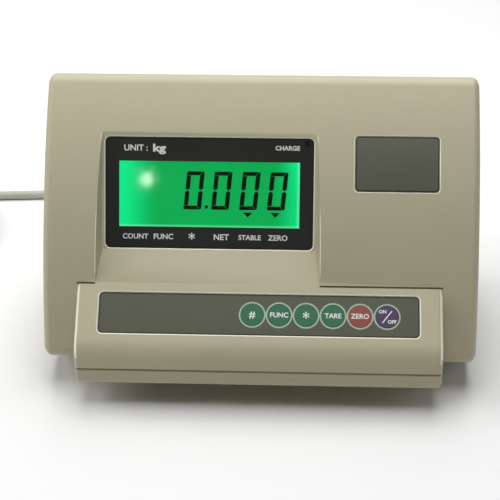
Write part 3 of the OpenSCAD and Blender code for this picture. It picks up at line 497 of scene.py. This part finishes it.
def soften(shape, radius, wanted):
    """Rounds the face side's edges for which wanted(edge, angle) holds, and gives the rounds the
    lighter, glossier skin: a painted highlight.
    """
    chosen = []
    for edge in shape.edges:
        if len(edge.link_faces) == 2:
            outward = sum((f.normal for f in edge.link_faces), Vector()).normalized()
            angle = math.degrees(edge.calc_face_angle_signed())
            if outward.dot(OUT_OF_FACE) > FACING_OUT and wanted(edge, angle):
                chosen.append(edge)
    rounded = bmesh.ops.bevel(
        shape, geom=chosen, offset=radius * MM, segments=3, profile=0.5, affect="EDGES", material=-1
    )
    shape.normal_update()
    # The rounds take the lighter skin, a painted highlight.
    for face in rounded["faces"]:
        face.material_index = PAINTED_HIGHLIGHT


def in_box(edge, low, high):
    return all(
        low[i] * MM <= vert.co[i] <= high[i] * MM for vert in edge.verts for i in range(3)
    )


def on_rim(edge):
    """Whether an edge borders one of the three sunk panels."""
    for face, half_x, half_y in RIMS:
        back = plane(*face).inverted()
        places = [back @ vert.co for vert in edge.verts]
        if all(
            abs(p.x) < half_x and abs(p.y) < half_y and abs(p.z) < RIM_DEPTH for p in places
        ):
            return True
    return False


def ridge(edge, angle):
    """Whether an edge is one of the two that run up the sides of the channel."""
    first, second = (vert.co for vert in edge.verts)
    upright = abs(first.x - second.x) < UPRIGHT * MM
    return angle > 30 and upright and in_box(edge, CHANNEL_LOW, CHANNEL_HIGH) and not on_rim(edge)


def rim(edge, angle):
    return angle > 60 and on_rim(edge)


# The rounded sides of the console lip's front, which carry a painted highlight
LIP_SIDE_X = (107.4, 110)
LIP_SIDE_TURN = (0.35, 0.9)
LIP_SIDE_UP = 0.2
LIP_FRONT_Y = -42


def on_lip_side(face):
    middle = face.calc_center_median() / MM
    return (
        LIP_SIDE_X[0] < abs(middle.x) < LIP_SIDE_X[1]
        and middle.y < LIP_FRONT_Y
        and LIP_SIDE_TURN[0] < abs(face.normal.x) < LIP_SIDE_TURN[1]
        and face.normal.z > LIP_SIDE_UP
    )


front = merged("front_shell")
soften(front, RIDGE_ROUND, ridge)
soften(front, RIM_ROUND, rim)
# Painted highlight: the lip's rounded sides take the lighter edge skin.
for face in front.faces:
    if on_lip_side(face):
        face.material_index = PAINTED_HIGHLIGHT
# The second skin is a lighter plastic: a painted highlight on the rounded edges and the lip's sides.
skins = [finishes[slots["front_shell"]], moulded("housing_edge_highlight", "#f2eeda", 0.35)]
moulding = shaded(front, "front_shell_moulding", slots["front_shell"], skins=skins)
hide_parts("front_shell")
ALREADY_REPLACED = ("front_shell", "power_cord", "power_cord_coil")
for node in frame["nodes"]:
    if node not in ALREADY_REPLACED:
        body = node if node.startswith("key_") else BODY
        piece = shaded(merged(node), node + "_finished", slots[node], body)
        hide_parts(node)

# Ink printed on the sloping faces, and its clearance over them
INK_T = 0.03
INK_LIFT = 0.005
CAPITAL_SHARE = 0.72


def raised_ink(shape, outline):
    """Raises one flat outline to the ink's thickness and returns its top."""
    face = shape.faces.new([shape.verts.new((x, y, 0)) for x, y in outline])
    ahead = outline[1:] + outline[:1]
    if sum(x0 * y1 - x1 * y0 for (x0, y0), (x1, y1) in zip(outline, ahead)) < 0:
        face.normal_flip()
    raised = bmesh.ops.extrude_face_region(shape, geom=[face])["geom"]
    lifted = [v for v in raised if isinstance(v, bmesh.types.BMVert)]
    bmesh.ops.translate(shape, verts=lifted, vec=(0, 0, INK_T))
    return [f for f in raised if isinstance(f, bmesh.types.BMFace)]


def lay(shape, surface, z):
    """Moves a drawn shape onto a sloping surface, z above its plane."""
    bmesh.ops.recalc_face_normals(shape, faces=shape.faces)
    bmesh.ops.translate(shape, verts=shape.verts, vec=(0, 0, z))
    bmesh.ops.transform(shape, verts=shape.verts, matrix=plane(*surface))


def printed(name, outlines, surface, z, ink, body, slot):
    """Flat areas of ink on a sloping surface, each a convex outline."""
    shape = bmesh.new()
    for outline in outlines:
        raised_ink(shape, outline)
    lay(shape, surface, z + INK_LIFT)
    shaded(shape, name, slot, body, [inks[ink]])


def lettering(name, words, surface, place, cap, bold, body, wide=1.0):
    """White words printed flat on a sloping surface, centred, capitals cap high."""
    curve = bpy.data.curves.new(name, "FONT")
    curve.body = words
    curve.size = cap / CAPITAL_SHARE
    curve.align_x = "CENTER"
    curve.align_y = "CENTER"
    curve.offset = bold
    curve.extrude = INK_T / 2
    curve.resolution_u = 3
    made = put(name, curve)
    mesh = bpy.data.meshes.new_from_object(made.evaluated_get(bpy.context.evaluated_depsgraph_get()))
    bpy.data.objects.remove(made)
    x, y, z = place
    lift = Matrix.Translation((x, y, z + INK_T / 2 + INK_LIFT))
    mesh.transform(plane(*surface) @ lift @ Matrix.Diagonal((wide, 1, 1, 1)))
    mesh.materials.clear()
    mesh.materials.append(inks["white"])
    mesh.name = name
    piece = put(name, mesh)
    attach(piece, body)


# Liquid crystal figures, drawn upright from their lower left corner
FIGURE_W = 10.9
FIGURE_H = 23.2
FIGURE_MIDDLES = (-9.4, 7.4, 24.4, 41.2)
FIGURE_FOOT = -10.1
FIGURE_LIFT = 0.01
SLANT = math.tan(math.radians(5.6))
STROKE = 2.85
BAR = 2.5

# Cuts at the corners of a bar, along and across it
WAIST_CUT = 1
WAIST_TIP = 0.05
TOP_LEFT = (0.6, 0.7)
TOP_RIGHT = 1.1
OUTER_CUT = (0.4, 0.2)
OUTER_DROP = 1

# The decimal point, the pointers and the pale edge of each
POINT = (-1.9, -8.4)
POINT_R = 1.15
POINT_STEPS = 16
POINTER_X = (23.2, 39.9)
POINTER_Y = -11.5
POINTER_SIZE = 3
PALE_EDGE = {"bar": 0.17, "point": 0.12, "pointer": 0.15}


def figure_zero():
    """The six bars of a nought: top, right and left, and the same turned over."""
    w, h, waist = FIGURE_W, FIGURE_H, FIGURE_H / 2
    inner = w - STROKE
    top = [(0, h - BAR), (0, h - TOP_LEFT[0]), (TOP_LEFT[1], h), (w - TOP_RIGHT, h), (inner, h - BAR)]
    right = [
        (inner, waist + WAIST_CUT),
        (inner, h - BAR),
        (w - TOP_RIGHT, h),
        (w - OUTER_CUT[0], h - OUTER_CUT[1]),
        (w, h - OUTER_DROP),
        (w, waist + WAIST_CUT),
        (w - STROKE / 2, waist + WAIST_TIP),
    ]
    left = [
        (0, waist + WAIST_CUT),
        (0, h - BAR),
        (STROKE, h - BAR),
        (STROKE, waist + WAIST_CUT),
        (STROKE / 2, waist + WAIST_TIP),
    ]
    upper = [top, right, left]
    return upper + [[(x, h - y) for x, y in bar] for bar in upper]


def figures():
    """The lit reading: four noughts, the point and two pointers, all with pale edges."""
    outlines = []
    for middle in FIGURE_MIDDLES:
        left = middle - FIGURE_W / 2
        for bar in figure_zero():
            slanted = [(left + x + (y - FIGURE_H / 2) * SLANT, FIGURE_FOOT + y) for x, y in bar]
            outlines.append(("bar", slanted))
    turns = [math.tau * k / POINT_STEPS for k in range(POINT_STEPS)]
    point = [(POINT[0] + POINT_R * math.cos(a), POINT[1] + POINT_R * math.sin(a)) for a in turns]
    outlines.append(("point", point))
    for x in POINTER_X:
        tip = (x, POINTER_Y - POINTER_SIZE)
        pointer = [(x - POINTER_SIZE, POINTER_Y), tip, (x + POINTER_SIZE, POINTER_Y)]
        outlines.append(("pointer", pointer))
    shape = bmesh.new()
    for kind, outline in outlines:
        pale = bmesh.ops.inset_region(
            shape, faces=raised_ink(shape, outline), thickness=PALE_EDGE[kind], use_even_offset=True
        )
        for face in pale["faces"]:
            face.material_index = 1
    lay(shape, DISPLAY, GLASS_TOP + FIGURE_LIFT)
    shaded(shape, "lit_figures", "crystal", skins=[inks["dark"], inks["halo"]])


figures()

# Dark lines at the panels' edges: half the sides, the corner and the line's width
EDGES = [
    ("display_edge", DISPLAY, 62.55, 33.25, OVERLAY_TOP, "overlay_dark"),
    ("keypad_edge", KEYPAD, 95.2, 12.35, PAD_TOP, "pad_grey"),
    ("plate_edge", PLATE, 24.75, 16.35, PLATE_TOP, "plate_grey"),
]
EDGE_CORNER = 2.4
EDGE_WIDTH = 0.5
CORNER_STEPS = 6


def panel_edge(half_x, half_y):
    """Quads between a panel's rounded outline and the same outline further in."""
    outer, inner = [], []
    for corner, (right, up) in enumerate([(1, 1), (-1, 1), (-1, -1), (1, -1)]):
        x = right * (half_x - EDGE_CORNER)
        y = up * (half_y - EDGE_CORNER)
        for k in range(CORNER_STEPS + 1):
            turn = math.radians(90 * (corner + k / CORNER_STEPS))
            for loop, r in ((outer, EDGE_CORNER), (inner, EDGE_CORNER - EDGE_WIDTH)):
                loop.append((x + r * math.cos(turn), y + r * math.sin(turn)))
    count = len(outer)
    return [
        [outer[i], outer[(i + 1) % count], inner[(i + 1) % count], inner[i]] for i in range(count)
    ]


for edge, surface, half_x, half_y, top, slot in EDGES:
    printed(edge, panel_edge(half_x, half_y), surface, top, "black", BODY, slot)

# Labels of the display: words, place, height of a capital, boldness, stretch
LABELS = [
    ("label_unit", "UNIT :", -44.4, 26.9, 3.7, 0.1, 1.0),
    ("label_kilogram", "kg", -30.4, 26.9, 4.6, 0.24, 1.35),
    ("label_lamp", "CHARGE", 47.0, 27.6, 2.7, 0.12, 1.0),
    ("label_count", "COUNT", -44.6, -26.6, 3.1, 0.1, 1.0),
    ("label_function", "FUNC", -27.6, -26.6, 3.3, 0.1, 1.0),
    ("label_star", "*", -10.4, -27.9, 6.6, 0.1, 1.0),
    ("label_net", "NET", 7.4, -26.6, 3.6, 0.1, 1.0),
    ("label_steady", "STABLE", 24.7, -26.6, 3.0, 0.1, 1.0),
    ("label_zero", "ZERO", 41.8, -26.6, 3.3, 0.1, 1.0),
]
for label, words, x, y, cap, bold, wide in LABELS:
    lettering(label, words, DISPLAY, (x, y, OVERLAY_TOP), cap, bold, BODY, wide)

# Keys: the sign of each, its place on the key and the height of a capital
KEY_PITCH = 16
KEY_FIRST = -3.7
SIGN_BOLD = 0.09
KEYS = [
    ("key_hash", [("#", 0, 0, 4.4)]),
    ("key_function", [("FUNC", 0, 0, 3.0)]),
    ("key_star", [("*", 0, -1.6, 6.6)]),
    ("key_tare", [("TARE", 0, 0, 3.0)]),
    ("key_zero", [("ZERO", 0, 0, 3.0)]),
    ("key_power", [("ON", -2.7, 3.1, 2.1), ("OFF", 2.9, -3.1, 2.1)]),
]
# A ring printed on each key, and a thin border round it on the pad: radii and heights
KEY_RING = [(7.1, 7.7), (KEY_TOP - 0.12, KEY_TOP + 0.02)]
PAD_BORDER = [(7.82, 8.0), (PAD_TOP + INK_LIFT, PAD_TOP + 0.1)]
RING_STEPS = 72
# The stroke between the power key's two words
SLASH = [(-3.1, -3.5), (-2.6, -3.9), (3.1, 3.5), (2.6, 3.9)]


def ring(name, middle, radii, heights, body, slot):
    """A flat printed ring on the keypad."""
    shape = bmesh.new()
    corners = [(0, 0), (1, 0), (1, 1), (0, 1)]
    section = [shape.verts.new((radii[i], 0, heights[j])) for i, j in corners]
    sides = [shape.edges.new((section[i], section[(i + 1) % 4])) for i in range(4)]
    bmesh.ops.spin(
        shape,
        geom=section + sides,
        cent=(0, 0, 0),
        axis=(0, 0, 1),
        angle=math.tau,
        steps=RING_STEPS,
        use_merge=True,
    )
    bmesh.ops.translate(shape, verts=shape.verts, vec=(middle, 0, 0))
    lay(shape, KEYPAD, 0)
    shaded(shape, name, slot, body, [inks["ring"]])


for i, (key, signs) in enumerate(KEYS):
    middle = KEY_FIRST + i * KEY_PITCH
    ring(key + "_ring", middle, *KEY_RING, key, slots[key])
    for j, (words, x, y, cap) in enumerate(signs):
        place = (middle + x, y, KEY_TOP)
        lettering(f"{key}_sign_{j}", words, KEYPAD, place, cap, SIGN_BOLD, key)
    ring(key + "_border", middle, *PAD_BORDER, BODY, "pad_grey")
slash = [(middle + x, y) for x, y in SLASH]
printed("key_power_slash", [slash], KEYPAD, KEY_TOP, "white", "key_power", slots["key_power"])

# Floor, backdrop and light
FLOOR_HALF = 6
FLOOR_SHADE = 0.86
SKY_LEVEL = 0.03


def make_floor():
    finish = Finish("floor", roughness=0.9)
    finish.set("Base Color", (FLOOR_SHADE, FLOOR_SHADE, FLOOR_SHADE, 1))
    shape = bmesh.new()
    bmesh.ops.create_grid(shape, x_segments=1, y_segments=1, size=FLOOR_HALF)
    mesh = bpy.data.meshes.new("floor")
    shape.to_mesh(mesh)
    shape.free()
    mesh.materials.append(finish.material)
    floor = put("floor", mesh)


def make_world():
    """A dim even light, seen as white behind the floor."""
    world = bpy.data.worlds.new("world")
    bpy.context.scene.world = world
    world.use_nodes = True
    nodes, links = world.node_tree.nodes, world.node_tree.links
    sky = nodes["Background"]
    sky.inputs["Color"].default_value = (1, 1, 1, 1)
    sky.inputs["Strength"].default_value = SKY_LEVEL
    seen = nodes.new("ShaderNodeBackground")
    seen.inputs["Strength"].default_value = 1
    path = nodes.new("ShaderNodeLightPath")
    mix = nodes.new("ShaderNodeMixShader")
    links.new(path.outputs["Is Camera Ray"], mix.inputs[0])
    links.new(sky.outputs[0], mix.inputs[1])
    links.new(seen.outputs[0], mix.inputs[2])
    links.new(mix.outputs[0], nodes["World Output"].inputs["Surface"])


def make_lamp(name, place, target, shape, size, watts):
    light = bpy.data.lights.new(name, "AREA")
    light.shape = shape
    light.size = size
    light.energy = watts
    away = Vector(place) - Vector(target)
    turn = away.to_track_quat("Z", "Y").to_matrix().to_4x4()
    lamp = put(name, light)
    lamp.matrix_world = Matrix.Translation(Vector(place)) @ turn


GLARE_PLACE = (-37.8, 8.0)
GLARE_DISTANCE = 0.9
GLARE_SIZE = 0.015
GLARE_POWER = 0.006


def make_glare():
    """A small round lamp where the lens mirrors it into the photograph's view."""
    camera = bpy.context.scene.camera
    spot = plane(*DISPLAY) @ Vector((*GLARE_PLACE, OVERLAY_TOP))
    normal = (plane(*DISPLAY).to_3x3() @ Vector((0, 0, 1))).normalized()
    seen = (spot - camera.matrix_world.translation).normalized()
    place = spot + seen.reflect(normal) * GLARE_DISTANCE
    make_lamp("glare", place, spot, "DISK", GLARE_SIZE, GLARE_POWER)


# Square lamps: place in metres, and power in watts
LAMPS = {
    "overhead": ((0, 0, 1.3), 10.3),
    "behind": ((0, 0.8, 1.2), 9.8),
    "left": ((-1.1, 0, 0.8), 7.7),
    "right": ((1.1, 0, 0.8), 2.2),
}
LAMP_TARGET = (0, 0, 0.05)
LAMP_SIZE = 0.9
make_floor()
make_world()
for lamp, (place, watts) in LAMPS.items():
    make_lamp(lamp, place, LAMP_TARGET, "SQUARE", LAMP_SIZE, watts)
make_glare()

bpy.context.scene.view_settings.view_transform = "Standard"
